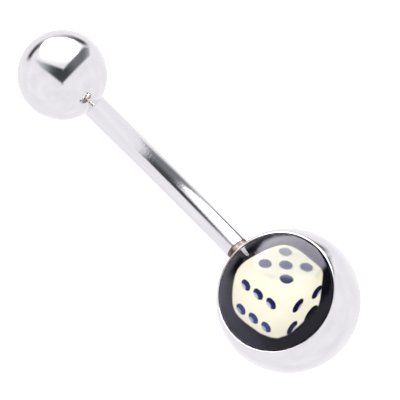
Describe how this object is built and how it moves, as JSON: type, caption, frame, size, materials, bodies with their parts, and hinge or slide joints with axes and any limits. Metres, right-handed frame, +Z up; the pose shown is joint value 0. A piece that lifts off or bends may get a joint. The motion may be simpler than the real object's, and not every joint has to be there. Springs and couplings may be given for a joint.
{
  "type": "belly button ring",
  "caption": "Curved steel barbell for a navel piercing, with a plain screw-off ball and a larger ball holding a domed picture of a die.",
  "frame": {"origin": "on the table under the middle of the piece as it rests by itself on its two balls and the belly of its bar", "axes": "+X from the small ball to the picture ball, +Z up, and the plane of the bend leans 25 degrees from upright, with the belly of the bar toward +Y and the picture toward -Y"},
  "size_m": [0.024, 0.008, 0.0078],
  "materials": {
    "polished_steel": "mirror polished surgical steel, straw and brown heat colour at the soldered neck",
    "ball_steel": "mirror polished surgical steel ball",
    "black_print": "black printed film",
    "cream_print": "cream printed ink, shaded as three faces of a die",
    "blue_print": "dark blue printed pips",
    "clear_resin": "clear poured resin, glossy"
  },
  "bodies": {
    "post": {"post_and_cup": "polished_steel", "picture_disc": "black_print", "die_face": "cream_print", "die_pips": "blue_print", "resin_dome": "clear_resin"},
    "screw_ball": {"top_ball": "ball_steel"}
  },
  "joints": [
    {"name": "top_ball_off", "type": "slide", "parent": "post", "child": "screw_ball", "axis": [-0.9141, -0.1984, 0.3535], "range_m": [0, 0.004]}
  ]
}
